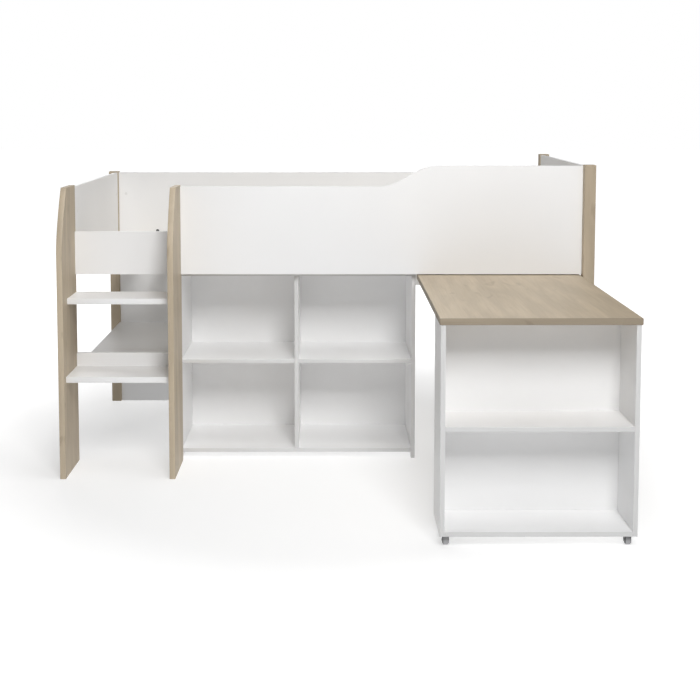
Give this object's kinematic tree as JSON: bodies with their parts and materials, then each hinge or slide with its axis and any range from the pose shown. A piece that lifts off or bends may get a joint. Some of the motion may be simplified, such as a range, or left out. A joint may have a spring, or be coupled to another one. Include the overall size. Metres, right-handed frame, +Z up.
{
  "type": "loft bed with desk",
  "caption": "Mid-height loft bed in white board and oak with a step ladder, an open shelf unit and a desk with a bookcase that rolls in under the bed.",
  "frame": {"origin": "on the floor, in the middle of the footprint of the bed with its desk rolled out", "axes": "+Z up, +X along the mattress towards the desk, +Y to the back of the bed; the ladder and the shelf unit face -Y"},
  "size_m": [2.108, 1.84, 1.2],
  "materials": {
    "oak": "matt lacquered light grey oak with a fine straight grain",
    "white_board": "satin white melamine board with matching edge band",
    "birch": "plain birch slats, unlacquered",
    "caster_steel": "dark grey pressed steel",
    "caster_wheel": "mid grey plastic wheel"
  },
  "bodies": {
    "bed": {"front_guard_panel": "white_board", "front_right_post": "oak", "ladder_guard_panel": "white_board", "ladder_rail": "white_board", "ladder_stringer_left": "oak", "ladder_stringer_right": "oak", "left_end_panel": "white_board", "rear_guard_panel": "white_board", "rear_left_post": "oak", "rear_lower_panel": "white_board", "rear_lower_rail": "white_board", "rear_right_post": "oak", "right_end_panel": "white_board", "shelf_back_panel": "white_board", "shelf_bottom": "white_board", "shelf_divider": "white_board", "shelf_left_partition": "white_board", "shelf_mid_left": "white_board", "shelf_mid_right": "white_board", "shelf_right_side": "white_board", "shelf_top": "white_board", "slat_01": "birch", "slat_02": "birch", "slat_03": "birch", "slat_04": "birch", "slat_05": "birch", "slat_06": "birch", "slat_07": "birch", "slat_08": "birch", "slat_09": "birch", "slat_10": "birch", "slat_11": "birch", "slat_12": "birch", "slat_rail_front": "birch", "slat_rail_rear": "birch", "step_lower": "white_board", "step_upper": "white_board", "storage_shelf": "white_board"},
    "desk": {"bookcase_back": "white_board", "bookcase_bottom": "white_board", "bookcase_left_side": "white_board", "bookcase_mid_shelf": "white_board", "bookcase_right_side": "white_board", "caster_axle_front_left": "caster_steel", "caster_axle_front_right": "caster_steel", "caster_axle_rear_left": "caster_steel", "caster_axle_rear_right": "caster_steel", "caster_bracket_front_left": "caster_steel", "caster_bracket_front_right": "caster_steel", "caster_bracket_rear_left": "caster_steel", "caster_bracket_rear_right": "caster_steel", "desk_modesty_panel": "white_board", "desk_rear_leg": "white_board", "desk_top": "oak"},
    "wheel_front_left": {"caster_wheel_front_left": "caster_wheel"},
    "wheel_front_right": {"caster_wheel_front_right": "caster_wheel"},
    "wheel_rear_left": {"caster_wheel_rear_left": "caster_wheel"},
    "wheel_rear_right": {"caster_wheel_rear_right": "caster_wheel"}
  },
  "joints": [
    {"name": "desk_roll", "type": "slide", "parent": "bed", "child": "desk", "axis": [0, 1, 0], "range_m": [-0.12, 0.86]},
    {"name": "wheel_front_left_spin", "type": "hinge", "parent": "desk", "child": "wheel_front_left", "pos_m": [0.382, -0.878, 0.016], "axis": [1, 0, 0], "continuous": true},
    {"name": "wheel_front_right_spin", "type": "hinge", "parent": "desk", "child": "wheel_front_right", "pos_m": [0.979, -0.878, 0.016], "axis": [1, 0, 0], "continuous": true},
    {"name": "wheel_rear_left_spin", "type": "hinge", "parent": "desk", "child": "wheel_rear_left", "pos_m": [0.543, 0, 0.016], "axis": [1, 0, 0], "continuous": true},
    {"name": "wheel_rear_right_spin", "type": "hinge", "parent": "desk", "child": "wheel_rear_right", "pos_m": [0.979, 0, 0.016], "axis": [1, 0, 0], "continuous": true}
  ],
  "couplings": [
    {"joint": "wheel_front_left_spin", "follows": "desk_roll", "rad_per_m": -62.5},
    {"joint": "wheel_front_right_spin", "follows": "desk_roll", "rad_per_m": -62.5},
    {"joint": "wheel_rear_left_spin", "follows": "desk_roll", "rad_per_m": -62.5},
    {"joint": "wheel_rear_right_spin", "follows": "desk_roll", "rad_per_m": -62.5}
  ]
}
